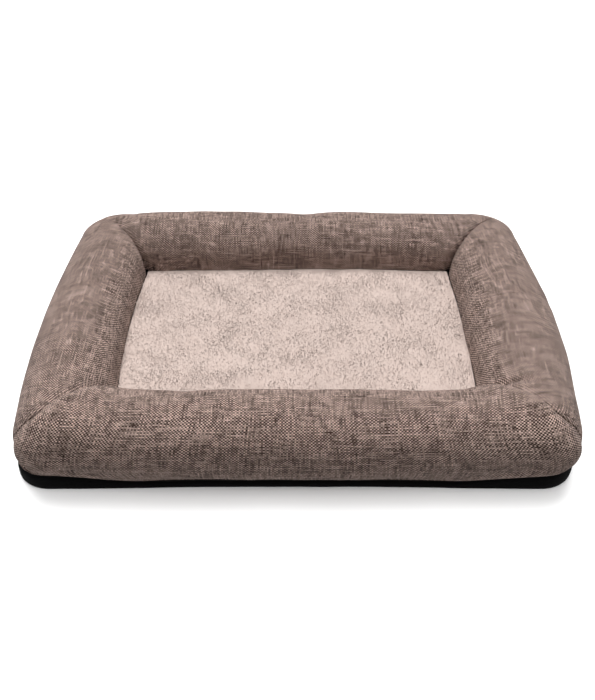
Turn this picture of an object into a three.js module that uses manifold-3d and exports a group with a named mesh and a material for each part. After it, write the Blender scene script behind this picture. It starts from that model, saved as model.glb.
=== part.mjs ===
// A rectangular bolster bed for a dog or a cat, in millimetres, +Z up.
// The origin is on the floor under the middle of the bed. The front faces -Y and the zip is at the rear.
import * as THREE from 'three';
import { mergeVertices } from 'three/addons/utils/BufferGeometryUtils.js';
import Module from 'manifold-3d';

const wasm = await Module();
wasm.setup();

// ---- overall sizes ----
const bedWidth = 914;            // across X, over the bulge of the side bolsters
const bedDepth = 711;            // across Y, over the bulge of the front and rear bolsters
const bedHeight = 150;           // floor to the top of the bolsters
const bolsterWidth = 148;        // one bolster, from its inner line to its outer line
const sideBulge = 15;            // how far a side bolster bows out at its middle
const endBulge = 4.5;            // the same, front and rear
const cornerRadius = 73;         // outer corner of the bolsters, seen from above
const sleepingHeight = 76;       // floor to the tips of the plush pile

// ---- sewn layers ----
const coverThickness = 2.4;      // woven cover with its backing
const liningThickness = 1.2;     // plain lining that closes each bolster underneath
const seamBelowPile = 6;         // the cover is sewn to the plush panel this far below the tips
const panelThickness = 2.5;      // non-slip bottom panel
const waddingThickness = 7.5;    // padding of the base
const boxingHeight = 13.7;       // black band round the base
const boxingThickness = 2;
const coverLift = 2.6;           // underside of the cover above the top edge of the band, front and rear
const sideReach = 10;            // how much nearer to the outer line the band is at the sides
const baseCornerRadius = 52;
const waddingInset = 9;          // leaves room for the inner plate of the zip slider
const plushThickness = 9;
const battingThickness = 7;
const padCornerRadius = 6;
const filmThickness = 1;         // waterproof bag of the mattress
const mouthHeight = 22;          // mouth at the rear of the waterproof bag
const mouthSetback = 20;         // from each end of the rear face to the mouth

// ---- zip ----
const zipSetback = 56;           // from the start of a rear corner of the base to the end of the zip
const coilHeight = 1.65;         // one row of the nylon coil, measured across the zip
const coilProud = 0.6;           // how far the coil stands out of the tape
const coilDepth = 2.4;
const tapeThickness = 1.1;
const slitHeight = 1.2;          // space between the two rows, which the neck of the slider runs in
const sliderLength = 12;
const sliderHeight = 9;
const plateThickness = 1.5;
const neckLength = 4;
const neckThickness = 0.6;
const bridgeLength = 7;
const bridgeWidth = 2.4;
const bridgeBar = 1.1;
const pinThickness = 1.2;
const tabLength = 26;
const tabWidth = 7.5;
const tabThickness = 1.4;
const tabArm = 1.5;
const stopLength = 4;
const sink = 0.2;                // how far joined blocks of one metal piece run into each other

// ---- care label ----
const labelWidth = 34;
const labelThickness = 0.8;

// ---- clearances ----
const layerGap = 0.3;            // between two layers that touch in the sewn bed
const fillGap = 0.6;             // filling to its cover
const mitreGap = 0.5;            // between two bolsters at a corner seam
const padGap = 0.95;             // sleeping pad to the bolsters
const slideGap = 0.4;            // zip slider to the chain
const tabGap = 0.35;             // pull tab to the bridge of the slider

// ---- how finely the soft shapes are faceted ----
const arcSteps = 3;              // stations round half an outer corner
const straightSteps = 6;         // stations along the straight of a bolster
const sectionSides = 22;         // points round a whole bolster section
const cornerSteps = 4;           // facets of the band round half a corner of the base

// ---- levels and outlines that follow from the sizes ----
const halfWidth = bedWidth / 2 - sideBulge;
const halfDepth = bedDepth / 2 - endBulge;
const innerX = halfWidth - bolsterWidth;
const innerY = halfDepth - bolsterWidth;
const boxingBottom = panelThickness + layerGap;
const waddingTop = boxingBottom + waddingThickness;
const bolsterBottom = waddingTop + layerGap + mitreGap;
const sectionHalfWidth = bolsterWidth / 2;
const sectionHalfHeight = (bedHeight - bolsterBottom) / 2;
const sectionMiddle = bolsterBottom + sectionHalfHeight;
const boxingTop = boxingBottom + boxingHeight;
const bandDrop = (sectionMiddle - boxingTop - coverLift) / sectionHalfHeight;
const baseInsetEnd = sectionHalfWidth * (1 - Math.sqrt(1 - bandDrop ** 2));
const baseInsetSide = baseInsetEnd - sideReach;
const baseX = bedWidth / 2 - baseInsetSide;
const baseY = bedDepth / 2 - baseInsetEnd;
const zipLength = 2 * (baseX - baseCornerRadius - zipSetback);
const seamHeight = sleepingHeight - seamBelowPile;
const labelX = -(zipLength + zipSetback) / 2;
const plushBottom = sleepingHeight - plushThickness;
const battingBottom = plushBottom - layerGap - battingThickness;
const bagBottom = waddingTop + layerGap;
const bagTop = battingBottom - layerGap;
const padBelowMiddle = Math.max(0, sectionMiddle - sleepingHeight) / sectionHalfHeight;
const padReach = sectionHalfWidth * (1 - Math.sqrt(1 - padBelowMiddle ** 2));
const padX = innerX + padReach - padGap;
const padY = innerY + padReach - padGap;

const materials = {
  weave: { color: 0x7f6a60, roughness: 0.92, metalness: 0 },
  lining: { color: 0x3a3734, roughness: 0.95, metalness: 0 },
  fibre: { color: 0xf1efe9, roughness: 1, metalness: 0 },
  plush: { color: 0xd6c4bb, roughness: 1, metalness: 0 },
  foam: { color: 0xe9dcae, roughness: 0.95, metalness: 0 },
  film: { color: 0xdfe4e6, roughness: 0.45, metalness: 0 },
  base: { color: 0x101011, roughness: 0.8, metalness: 0 },
  tape: { color: 0x17171a, roughness: 0.85, metalness: 0 },
  coil: { color: 0x1b1b1e, roughness: 0.45, metalness: 0 },
  metal: { color: 0x4a4a4d, roughness: 0.35, metalness: 0.9 },
  label: { color: 0xf2f1ee, roughness: 0.8, metalness: 0 },
};

const bed = new THREE.Group();

function addPiece(name, geometry, finish) {
  const mesh = new THREE.Mesh(geometry, new THREE.MeshStandardMaterial(materials[finish]));
  mesh.name = name;
  bed.add(mesh);
  return mesh;
}

// ---- joining of small metal pieces ----
function toSolid(geometry) {
  const bare = geometry.clone();
  bare.deleteAttribute('normal');
  bare.deleteAttribute('uv');
  const merged = mergeVertices(bare, 1e-4);
  const vertProperties = new Float32Array(merged.attributes.position.array);
  const triVerts = new Uint32Array(merged.index.array);
  return new wasm.Manifold(new wasm.Mesh({ numProp: 3, vertProperties, triVerts }));
}

function toGeometry(solid) {
  const mesh = solid.getMesh();
  const geometry = new THREE.BufferGeometry();
  geometry.setAttribute('position', new THREE.BufferAttribute(new Float32Array(mesh.vertProperties), 3));
  geometry.setIndex(new THREE.BufferAttribute(new Uint32Array(mesh.triVerts), 1));
  geometry.computeVertexNormals();
  return geometry;
}

function joined(geometries) {
  const solids = geometries.map(toSolid);
  return toGeometry(solids.reduce((whole, solid) => whole.add(solid)));
}

function block(xLow, xHigh, yLow, yHigh, zLow, zHigh) {
  const geometry = new THREE.BoxGeometry(xHigh - xLow, yHigh - yLow, zHigh - zLow);
  geometry.translate((xLow + xHigh) / 2, (yLow + yHigh) / 2, (zLow + zHigh) / 2);
  return geometry;
}

// ---- flat sewn layers ----
function roundedRectangle(halfX, halfY, radius) {
  const outline = new THREE.Shape();
  outline.moveTo(halfX, radius - halfY);
  outline.lineTo(halfX, halfY - radius);
  outline.absarc(halfX - radius, halfY - radius, radius, 0, Math.PI / 2, false);
  outline.absarc(radius - halfX, halfY - radius, radius, Math.PI / 2, Math.PI, false);
  outline.absarc(radius - halfX, radius - halfY, radius, Math.PI, Math.PI * 1.5, false);
  outline.absarc(halfX - radius, radius - halfY, radius, Math.PI * 1.5, Math.PI * 2, false);
  return outline;
}

function flatLayer(halfX, halfY, radius, bottom, thickness) {
  const shape = roundedRectangle(halfX, halfY, radius);
  const geometry = new THREE.ExtrudeGeometry(shape, {
    depth: thickness,
    steps: 1,
    curveSegments: 2 * cornerSteps,
    bevelEnabled: false,
  });
  geometry.translate(0, 0, bottom);
  return geometry;
}

// ---- bolsters ----
// A point of the section at angle, set in by inset from the cover's outer face.
function sectionPoint(angle, inset) {
  const across = (sectionHalfWidth - inset) * Math.cos(angle);
  const up = (sectionHalfHeight - inset) * Math.sin(angle);
  return new THREE.Vector2(sectionHalfWidth + across, sectionMiddle + up);
}

// Angles spaced evenly from one seam to the other. The filling uses the same ones as the layers round it.
function anglesBetween(fromAngle, toAngle) {
  const count = Math.max(4, Math.round((sectionSides * (toAngle - fromAngle)) / (2 * Math.PI)));
  const angles = [];
  for (let i = 0; i <= count; i += 1) {
    angles.push(fromAngle + ((toAngle - fromAngle) * i) / count);
  }
  return angles;
}

function stripShape(angles, thickness) {
  const outside = angles.map((angle) => sectionPoint(angle, 0));
  const inside = angles.map((angle) => sectionPoint(angle, thickness));
  return new THREE.Shape([...outside, ...inside.reverse()]);
}

function wholeSectionShape(angles, inset) {
  return new THREE.Shape(angles.map((angle) => sectionPoint(angle, inset)));
}

// The outer line of one bolster, seen from above: x runs along it and y points outwards.
// share goes from -1 at one mitre, through the bowed straight, to 1 at the other mitre.
function outerLine(share, halfLength, halfAcross, bulge) {
  const straight = halfLength - cornerRadius;
  const arc = (cornerRadius * Math.PI) / 4;
  const run = Math.abs(share) * (straight + arc);
  if (run <= straight) {
    const bow = bulge * (1 - (run / straight) ** 2);
    return new THREE.Vector2(Math.sign(share) * run, halfAcross + bow);
  }
  const turn = (run - straight) / cornerRadius;
  const x = straight + cornerRadius * Math.sin(turn);
  const y = halfAcross - cornerRadius + cornerRadius * Math.cos(turn);
  return new THREE.Vector2(Math.sign(share) * x, y);
}

// Stations are closer together round the corners than along the straight.
function stationShare(level, halfLength) {
  const straight = halfLength - cornerRadius;
  const arc = (cornerRadius * Math.PI) / 4;
  const whole = straight + arc;
  const steps = 2 * arcSteps + straightSteps;
  const station = Math.abs(level * steps - steps / 2);
  const half = straightSteps / 2;
  const run = station <= half ? (straight * station) / half : straight + (arc * (station - half)) / arcSteps;
  return (Math.sign(level - 0.5) * run) / whole;
}

// Extrudes a section along one side of the bed, with a mitre at each end.
function alongSide(shape, side) {
  const geometry = new THREE.ExtrudeGeometry(shape, {
    depth: 1,
    steps: 2 * arcSteps + straightSteps,
    bevelEnabled: false,
  });
  const position = geometry.attributes.position;
  const shorten = 1 - mitreGap / side.innerHalf;
  for (let i = 0; i < position.count; i += 1) {
    const outward = position.getX(i) / bolsterWidth;
    const height = position.getY(i);
    const share = shorten * stationShare(position.getZ(i), side.halfLength);
    const outer = outerLine(share, side.halfLength, side.halfAcross, side.bulge);
    const x = share * side.innerHalf * (1 - outward) + outer.x * outward;
    const y = (side.halfAcross - bolsterWidth) * (1 - outward) + outer.y * outward;
    position.setXYZ(i, x, y, height);
  }
  geometry.computeVertexNormals();
  return geometry;
}

// Each side is made pointing to +Y, then turned to its place.
const alongWidth = {
  halfLength: halfWidth, halfAcross: halfDepth, innerHalf: innerX, bulge: endBulge, seamInset: baseInsetEnd,
};
const alongDepth = {
  halfLength: halfDepth, halfAcross: halfWidth, innerHalf: innerY, bulge: sideBulge, seamInset: baseInsetSide,
};
const sides = [
  { name: 'rear', turn: 0, ...alongWidth },
  { name: 'left', turn: 90, ...alongDepth },
  { name: 'front', turn: 180, ...alongWidth },
  { name: 'right', turn: 270, ...alongDepth },
];

function buildBolster(side) {
  const outerSeam = -Math.acos((sectionHalfWidth - side.seamInset) / sectionHalfWidth);
  const innerSeam = Math.PI + Math.asin((sectionMiddle - seamHeight) / sectionHalfHeight);
  const seamTurn = layerGap / sectionHalfHeight;
  const coverAngles = anglesBetween(outerSeam, innerSeam);
  const liningAngles = anglesBetween(innerSeam + seamTurn, outerSeam + 2 * Math.PI - seamTurn);
  const cover = stripShape(coverAngles, coverThickness);
  const lining = stripShape(liningAngles, liningThickness);
  const filling = wholeSectionShape([...coverAngles, ...liningAngles], coverThickness + fillGap);
  const pieces = [
    addPiece(`bolster_cover_${side.name}`, alongSide(cover, side), 'weave'),
    addPiece(`bolster_lining_${side.name}`, alongSide(lining, side), 'lining'),
    addPiece(`bolster_filling_${side.name}`, alongSide(filling, side), 'fibre'),
  ];
  for (const piece of pieces) {
    piece.rotation.z = THREE.MathUtils.degToRad(side.turn);
  }
}

// ---- sleeping pad and mattress ----
function buildPad() {
  addPiece('sleeping_panel', flatLayer(padX, padY, padCornerRadius, plushBottom, plushThickness), 'plush');
  addPiece('pad_batting', flatLayer(padX, padY, padCornerRadius, battingBottom, battingThickness), 'fibre');
}

function buildMattress() {
  const inside = filmThickness + layerGap;
  const outer = toSolid(flatLayer(padX, padY, padCornerRadius, bagBottom, bagTop - bagBottom));
  const hollow = toSolid(
    flatLayer(padX - filmThickness, padY - filmThickness, padCornerRadius - filmThickness,
      bagBottom + filmThickness, bagTop - bagBottom - 2 * filmThickness),
  );
  const middle = (bagBottom + bagTop) / 2;
  const mouthX = padX - mouthSetback;
  const mouth = toSolid(block(-mouthX, mouthX, padY - 3 * filmThickness, padY + filmThickness,
    middle - mouthHeight / 2, middle + mouthHeight / 2));
  addPiece('waterproof_bag', toGeometry(outer.subtract(hollow).subtract(mouth)), 'film');
  addPiece('foam_mattress', flatLayer(padX - inside, padY - inside, padCornerRadius - inside,
    bagBottom + inside, bagTop - bagBottom - 2 * inside), 'foam');
}

// ---- base ----
// A length of the upright band round the base, as a wall on an open outline seen from above.
function bandGeometry(points) {
  const outline = [];
  for (const point of points) {
    outline.push(point.clone());
  }
  for (let i = points.length - 1; i >= 0; i -= 1) {
    const before = points[Math.max(i - 1, 0)];
    const after = points[Math.min(i + 1, points.length - 1)];
    const along = after.clone().sub(before).normalize();
    const inward = new THREE.Vector2(-along.y, along.x).multiplyScalar(boxingThickness);
    outline.push(points[i].clone().add(inward));
  }
  const geometry = new THREE.ExtrudeGeometry(new THREE.Shape(outline), {
    depth: boxingHeight,
    steps: 1,
    bevelEnabled: false,
  });
  geometry.translate(0, 0, boxingBottom);
  return geometry;
}

function cornerPoints(signX, signY, fromAngle, toAngle) {
  const centreX = signX * (baseX - baseCornerRadius);
  const centreY = signY * (baseY - baseCornerRadius);
  const points = [];
  for (let i = 0; i <= cornerSteps; i += 1) {
    const angle = fromAngle + ((toAngle - fromAngle) * i) / cornerSteps;
    points.push(new THREE.Vector2(
      centreX + baseCornerRadius * Math.cos(angle),
      centreY + baseCornerRadius * Math.sin(angle),
    ));
  }
  return points;
}

function buildBase() {
  addPiece('bottom_panel', flatLayer(baseX, baseY, baseCornerRadius, 0, panelThickness), 'base');
  addPiece('base_wadding', flatLayer(baseX - waddingInset, baseY - waddingInset,
    baseCornerRadius - waddingInset, boxingBottom, waddingThickness), 'fibre');
  const eighth = Math.PI / 4;
  const slip = layerGap / baseCornerRadius;
  const rearEnd = zipLength / 2 + layerGap;
  const front = [
    ...cornerPoints(-1, -1, 5 * eighth + slip, 6 * eighth),
    ...cornerPoints(1, -1, 6 * eighth, 7 * eighth - slip),
  ];
  const right = [
    ...cornerPoints(1, -1, 7 * eighth + slip, 8 * eighth),
    ...cornerPoints(1, 1, 0, eighth - slip),
  ];
  const left = [
    ...cornerPoints(-1, 1, 3 * eighth + slip, 4 * eighth),
    ...cornerPoints(-1, -1, 4 * eighth, 5 * eighth - slip),
  ];
  const rearRight = [
    ...cornerPoints(1, 1, eighth + slip, 2 * eighth),
    new THREE.Vector2(rearEnd, baseY),
  ];
  const rearLeft = [
    new THREE.Vector2(-rearEnd, baseY),
    ...cornerPoints(-1, 1, 2 * eighth, 3 * eighth - slip),
  ];
  addPiece('boxing_front', bandGeometry(front), 'base');
  addPiece('boxing_right', bandGeometry(right), 'base');
  addPiece('boxing_left', bandGeometry(left), 'base');
  addPiece('boxing_rear_right', bandGeometry(rearRight), 'base');
  addPiece('boxing_rear_left', bandGeometry(rearLeft), 'base');
}

// ---- rear zip ----
const zipMiddle = boxingBottom + boxingHeight / 2;
const tapeFace = baseY;
const chainLow = zipMiddle - slitHeight / 2 - coilHeight;
const chainHigh = zipMiddle + slitHeight / 2 + coilHeight;
const coilFace = tapeFace + coilProud;
const outerPlate = coilFace + slideGap;
const outerPlateFace = outerPlate + plateThickness;
const innerPlate = coilFace - coilDepth - slideGap;
const pinY = outerPlateFace + tabGap + pinThickness / 2;
const sliderX = zipLength / 2 - stopLength - layerGap - slideGap - sliderLength / 2;

function buildChain() {
  const half = zipLength / 2;
  const chainHalf = half - stopLength - layerGap;
  addPiece('zip_tape_lower', block(-half, half, tapeFace - tapeThickness, tapeFace, boxingBottom,
    chainLow - layerGap), 'tape');
  addPiece('zip_tape_upper', block(-half, half, tapeFace - tapeThickness, tapeFace, chainHigh + layerGap,
    boxingTop), 'tape');
  addPiece('zip_coil_lower', block(-chainHalf, chainHalf, coilFace - coilDepth, coilFace, chainLow,
    chainLow + coilHeight), 'coil');
  addPiece('zip_coil_upper', block(-chainHalf, chainHalf, coilFace - coilDepth, coilFace,
    chainHigh - coilHeight, chainHigh), 'coil');
  for (const [name, sign] of [['left', -1], ['right', 1]]) {
    const edge = sign * half;
    const inner = sign * (half - stopLength);
    addPiece(`zip_stop_${name}`, block(Math.min(edge, inner), Math.max(edge, inner),
      coilFace - coilDepth, coilFace, chainLow, chainHigh), 'metal');
  }
}

function buildSlider() {
  const low = zipMiddle - sliderHeight / 2;
  const high = zipMiddle + sliderHeight / 2;
  const halfBridge = bridgeLength / 2;
  const bridgeLow = zipMiddle - bridgeWidth / 2;
  const bridgeHigh = zipMiddle + bridgeWidth / 2;
  const bridgeUnder = pinY + pinThickness / 2 + tabGap;
  const bridgeTop = bridgeUnder + bridgeBar;
  const geometry = joined([
    block(-sliderLength / 2, sliderLength / 2, outerPlate, outerPlateFace, low, high),
    block(-sliderLength / 2, sliderLength / 2, innerPlate - plateThickness, innerPlate, low, high),
    block(-neckLength / 2, neckLength / 2, innerPlate - sink, outerPlate + sink,
      zipMiddle - neckThickness / 2, zipMiddle + neckThickness / 2),
    block(-halfBridge, -halfBridge + bridgeBar, outerPlateFace - sink, bridgeTop, bridgeLow, bridgeHigh),
    block(halfBridge - bridgeBar, halfBridge, outerPlateFace - sink, bridgeTop, bridgeLow, bridgeHigh),
    block(-halfBridge, halfBridge, bridgeUnder, bridgeTop, bridgeLow, bridgeHigh),
  ]);
  addPiece('zip_slider', geometry, 'metal').position.x = sliderX;
}

function buildPullTab() {
  const innerHalf = bridgeWidth / 2 + tabGap;
  const outerHalf = innerHalf + tabArm;
  const halfThick = tabThickness / 2;
  const armEnd = -(bridgeLength / 2 + tabGap + pinThickness);
  const geometry = joined([
    block(-pinThickness / 2, pinThickness / 2, -pinThickness / 2, pinThickness / 2, -outerHalf, outerHalf),
    block(armEnd - sink, pinThickness / 2, -pinThickness / 2, pinThickness / 2, innerHalf, outerHalf),
    block(armEnd - sink, pinThickness / 2, -pinThickness / 2, pinThickness / 2, -outerHalf, -innerHalf),
    block(-tabLength, armEnd, -halfThick, halfThick, -tabWidth / 2, tabWidth / 2),
  ]);
  addPiece('zip_pull_tab', geometry, 'metal').position.set(sliderX, pinY, zipMiddle);
}

function buildLabel() {
  const face = baseY + layerGap;
  addPiece('care_label', block(labelX - labelWidth / 2, labelX + labelWidth / 2, face, face + labelThickness,
    boxingBottom, boxingTop), 'label');
}

for (const side of sides) {
  buildBolster(side);
}
buildPad();
buildMattress();
buildBase();
buildChain();
buildSlider();
buildPullTab();
buildLabel();

export default bed;
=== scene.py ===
import math
import bmesh
import bpy
import numpy as np
from mathutils import Matrix, Vector, noise


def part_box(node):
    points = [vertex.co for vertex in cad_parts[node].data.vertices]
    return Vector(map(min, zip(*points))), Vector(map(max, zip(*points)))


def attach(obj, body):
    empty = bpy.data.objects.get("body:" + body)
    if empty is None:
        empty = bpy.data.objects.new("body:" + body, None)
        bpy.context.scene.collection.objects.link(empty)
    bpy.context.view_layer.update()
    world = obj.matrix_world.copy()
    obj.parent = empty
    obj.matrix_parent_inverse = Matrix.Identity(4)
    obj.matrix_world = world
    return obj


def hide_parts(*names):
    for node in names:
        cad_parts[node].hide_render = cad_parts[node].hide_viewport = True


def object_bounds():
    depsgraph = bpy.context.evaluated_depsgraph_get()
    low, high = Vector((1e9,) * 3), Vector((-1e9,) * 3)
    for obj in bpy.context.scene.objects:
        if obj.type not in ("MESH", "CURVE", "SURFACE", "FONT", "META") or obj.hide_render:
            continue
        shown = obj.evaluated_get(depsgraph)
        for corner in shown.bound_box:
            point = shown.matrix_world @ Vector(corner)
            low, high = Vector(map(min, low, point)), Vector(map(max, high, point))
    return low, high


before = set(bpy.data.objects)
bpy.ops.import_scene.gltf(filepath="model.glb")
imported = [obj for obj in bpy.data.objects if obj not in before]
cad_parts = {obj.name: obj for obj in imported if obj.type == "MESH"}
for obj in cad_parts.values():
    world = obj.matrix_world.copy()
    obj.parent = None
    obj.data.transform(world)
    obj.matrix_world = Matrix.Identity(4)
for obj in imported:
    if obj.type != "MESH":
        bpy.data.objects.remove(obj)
cadLow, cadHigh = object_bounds()  # the CAD box, before anything is replaced
scene = bpy.context.scene
print("frame loaded:", len(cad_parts), "nodes")

# where the frame puts things
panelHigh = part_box("sleeping_panel")[1]
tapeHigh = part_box("zip_tape_lower")[1]
bedTop = cadHigh.z
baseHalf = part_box("bottom_panel")[1]

shape = {  # the bolsters, as the frame has them
    "across": 0.148,  # inner line to outer line
    "sideBulge": 0.015,
    "endBulge": 0.0045,
    "extraBulge": {"left": -0.001, "right": 0.005, "front": 0, "rear": 0},
    "cornerRadius": 0.073,
    "baseCorner": 0.052,
    "underside": 0.0111,
    "seamHeight": 0.070,
    "middleHeight": 0.0806,  # of the section, its half height, and its mean radius
    "halfHeight": 0.0694,
    "meanRadius": 0.0717,
}
shape["halfX"] = 0.457 - shape["sideBulge"]
shape["halfY"] = 0.3555 - shape["endBulge"]
shape["innerX"] = shape["halfX"] - shape["across"]
shape["innerY"] = shape["halfY"] - shape["across"]


# camera and light

view = {"back": 1.3343, "up": 1.0519, "pitch": 37.41, "lens": 47.41}


def buildCamera():
    lens = bpy.data.cameras.new("studioCamera")
    lens.lens = view["lens"]
    camera = bpy.data.objects.new("studioCamera", lens)
    camera.location = (0, -view["back"], view["up"])
    camera.rotation_euler = (math.radians(90 - view["pitch"]), 0, 0)
    scene.collection.objects.link(camera)
    scene.camera = camera


studio = {
    "sky": 0.34,
    "fromBelow": 0.50,  # the sky's lower half, which stands in for light off the floor
    "floor": 0.98,
    "key": 3.15,  # from above and a little behind
    "keySpread": 48,
    "keyTilt": -19,
    "fill": 2.1,  # on the floor alone
    "fillSpread": 60,
    "fillTilt": 30,
}
floorOnly = bpy.data.collections.new("floorOnly")


def buildLights():
    world = bpy.data.worlds.new("studioSky")
    world.use_nodes = True
    tree = world.node_tree
    place = tree.nodes.new("ShaderNodeTexCoord")
    parts = tree.nodes.new("ShaderNodeSeparateXYZ")
    fade = tree.nodes.new("ShaderNodeMapRange")
    levels = {"From Min": -0.15, "From Max": 0.15, "To Min": studio["fromBelow"], "To Max": studio["sky"]}
    for key, value in levels.items():
        fade.inputs[key].default_value = value
    tree.links.new(place.outputs["Generated"], parts.inputs[0])
    tree.links.new(parts.outputs["Z"], fade.inputs["Value"])
    tree.links.new(fade.outputs["Result"], tree.nodes["Background"].inputs["Strength"])
    tree.nodes["Background"].inputs["Color"].default_value = (1, 1, 1, 1)
    scene.world = world
    scene.view_settings.view_transform = "Standard"
    for name in ("key", "fill"):
        lamp = bpy.data.lights.new(name, "SUN")
        lamp.energy = studio[name]
        lamp.angle = math.radians(studio[name + "Spread"])
        holder = bpy.data.objects.new(name, lamp)
        holder.rotation_euler = (math.radians(studio[name + "Tilt"]), math.radians(-3), 0)
        scene.collection.objects.link(holder)
        if name == "fill":
            holder.light_linking.receiver_collection = floorOnly  # it lifts the shadow on the floor


# finishes


class Value:  # a socket that plain Python sums can be written with
    def __init__(self, finish, socket):
        self.finish = finish
        self.socket = socket

    def sum(self, operation, *others):
        return self.finish.node("ShaderNodeMath", {"operation": operation}, [self, *others])

    __add__ = __radd__ = lambda self, other: self.sum("ADD", other)
    __sub__ = lambda self, other: self.sum("SUBTRACT", other)
    __mul__ = __rmul__ = lambda self, other: self.sum("MULTIPLY", other)
    __truediv__ = lambda self, other: self.sum("DIVIDE", other)
    __pow__ = lambda self, other: self.sum("POWER", other)
    floor = lambda self: self.sum("FLOOR")
    part = lambda self: self.sum("FRACT")
    root = lambda self: self.sum("SQRT")

    def __rsub__(self, other):
        return self.finish.node("ShaderNodeMath", {"operation": "SUBTRACT"}, [other, self])

    def between(self, low, high, newLow=0.0, newHigh=1.0):
        settings = {"interpolation_type": "SMOOTHSTEP"}
        return self.finish.node("ShaderNodeMapRange", settings, [self, low, high, newLow, newHigh])


class Finish:
    def __init__(self, name, **sockets):
        self.material = bpy.data.materials.new(name)
        self.material.use_nodes = True
        self.tree = self.material.node_tree
        self.surface = self.tree.nodes["Principled BSDF"]
        for socket, value in sockets.items():
            self.surface.inputs[socket.replace("_", " ")].default_value = value

    def node(self, kind, settings, inputs, output=0):
        made = self.tree.nodes.new(kind)
        for key, value in settings.items():
            setattr(made, key, value)
        pairs = inputs.items() if isinstance(inputs, dict) else enumerate(inputs)
        for key, value in pairs:
            self.join(value, made.inputs[key])
        return Value(self, made.outputs[output])

    def join(self, value, socket):
        if isinstance(value, Value):
            self.tree.links.new(value.socket, socket)
        elif isinstance(value, tuple) and len(value) == 3 and socket.type == "RGBA":
            socket.default_value = (*value, 1)
        else:
            socket.default_value = value

    def objectPlace(self):
        return self.node("ShaderNodeTexCoord", {}, [], "Object")

    def parts(self, place):
        apart = self.tree.nodes.new("ShaderNodeSeparateXYZ")
        self.join(place, apart.inputs[0])
        return [Value(self, socket) for socket in apart.outputs]

    def clothMap(self):
        return self.parts(self.node("ShaderNodeUVMap", {"uv_map": "cloth"}, []))[:2]

    def point(self, x, y, z=0.0):
        return self.node("ShaderNodeCombineXYZ", {}, [x, y, z])

    def noise(self, place, scale, detail=2.0, roughness=0.5, output="Fac"):
        sockets = {"Vector": place, "Scale": scale, "Detail": detail, "Roughness": roughness}
        return self.node("ShaderNodeTexNoise", {}, sockets, output)

    def mix(self, share, first, second, blend="MIX"):
        settings = {"data_type": "RGBA", "blend_type": blend}
        colours = {0: share, 6: first, 7: second}  # the numbers of its colour sockets
        return self.node("ShaderNodeMix", settings, colours, 2)

    def bump(self, height, distance, strength=1.0):
        sockets = {"Height": height, "Distance": distance, "Strength": strength}
        return self.node("ShaderNodeBump", {}, sockets)

    def to(self, **values):
        for socket, value in values.items():
            self.join(value, self.surface.inputs[socket.replace("_", " ")])
        return self.material


weave = {  # light yarns round the bolster, dark ones along it
    "pitchAlong": 0.00260,
    "pitchAround": 0.00228,
    "light": (0.77, 0.567, 0.487),
    "dark": (0.027, 0.0135, 0.0095),
    "slub": 15.0,  # how long a thick place in a yarn is, in yarns
    "wander": (5.0, 4.0),  # how far the yarns stray, in yarns
    "middle": 0.435,  # the middle tone, and how far the yarns differ from it
    "contrast": (0.58, 1.04),  # in calm patches, and how much more in lively ones
    "speck": 0.42,
    "rowTurn": 0.32,  # every second yarn is lighter
    "columnTurn": 0.18,
    "relief": 0.0008,
}


def weaveFinish():
    cloth = Finish("wovenCover", Roughness=0.9, Sheen_Weight=0.12, Specular_IOR_Level=0.15)
    cloth.surface.inputs["Sheen Tint"].default_value = (0.9, 0.82, 0.78, 1)
    u, v = cloth.clothMap()
    wander = cloth.noise(cloth.point(u, v), 11.0, 2.0) - 0.5
    sway = cloth.noise(cloth.point(u, v, 7.0), 13.0, 2.0) - 0.5
    x = u / weave["pitchAlong"] + wander * weave["wander"][0]
    y = v / weave["pitchAround"] + sway * weave["wander"][1]
    column, row = x.floor(), y.floor()
    over = ((column + row) * 0.5).part() * 2.0  # 1 where the light yarn is on top
    crownX = 1.0 - (x.part() * 2.0 - 1.0) ** 2.0
    crownY = 1.0 - (y.part() * 2.0 - 1.0) ** 2.0
    lightCrown = crownX.root() * (0.3 + 0.7 * crownY)
    darkCrown = crownY.root() * (0.3 + 0.7 * crownX)
    # how high each yarn stands: it drives the bump, and below it also paints shade into the colour
    height = lightCrown * over + darkCrown * (1.0 - over)
    long = weave["slub"]
    ring = cloth.noise(cloth.point(column * 3.7, y / long), 1.0, 2.0, 0.65).between(0.33, 0.67)
    length = cloth.noise(cloth.point(x / long, row * 3.7, 5.0), 1.0, 2.0, 0.65).between(0.36, 0.70)
    thick = cloth.noise(cloth.point(x / 9.0, row * 5.3, 15.0), 1.0, 1.0).between(0.60, 0.72)
    cell = {"Vector": cloth.point(column, row)}
    speck = cloth.node("ShaderNodeTexWhiteNoise", {"noise_dimensions": "2D"}, cell)
    patches = cloth.noise(cloth.point(u, v, 3.0), 26.0, 3.0, 0.65).between(0.36, 0.62)
    ringTone = 0.62 + 0.44 * ring
    lengthTone = 0.34 * length + 0.42 * thick - 0.04
    contrast = weave["contrast"][0] + weave["contrast"][1] * patches
    tone = ringTone * over + lengthTone * (1.0 - over)
    tone = weave["middle"] + (tone - 0.46) * contrast + (speck - 0.5) * weave["speck"]
    rowTurn = (row * 0.5).part() * 2.0 - 0.5
    columnTurn = (column * 0.5).part() * 2.0 - 0.5
    banded = cloth.noise(cloth.point(u, v, 21.0), 34.0, 2.0).between(0.35, 0.65)
    tone = tone + (ring - 0.5) * 0.20 + (length - 0.5) * 0.34
    tone = tone + rowTurn * banded * weave["rowTurn"] + columnTurn * (1.0 - banded) * weave["columnTurn"]
    # painted shade: the tone darkens from each yarn's crown down into the hollows between the yarns
    colour = cloth.mix(tone * (0.26 + 0.74 * height), weave["dark"], weave["light"])
    fuzz = cloth.noise(cloth.point(u, v, 1.0), 2200.0, 2.0)
    relief = height + length * 0.3 + thick * 0.3 + fuzz * 0.25
    return cloth.to(Base_Color=colour, Normal=cloth.bump(relief, weave["relief"], 0.9))


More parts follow.
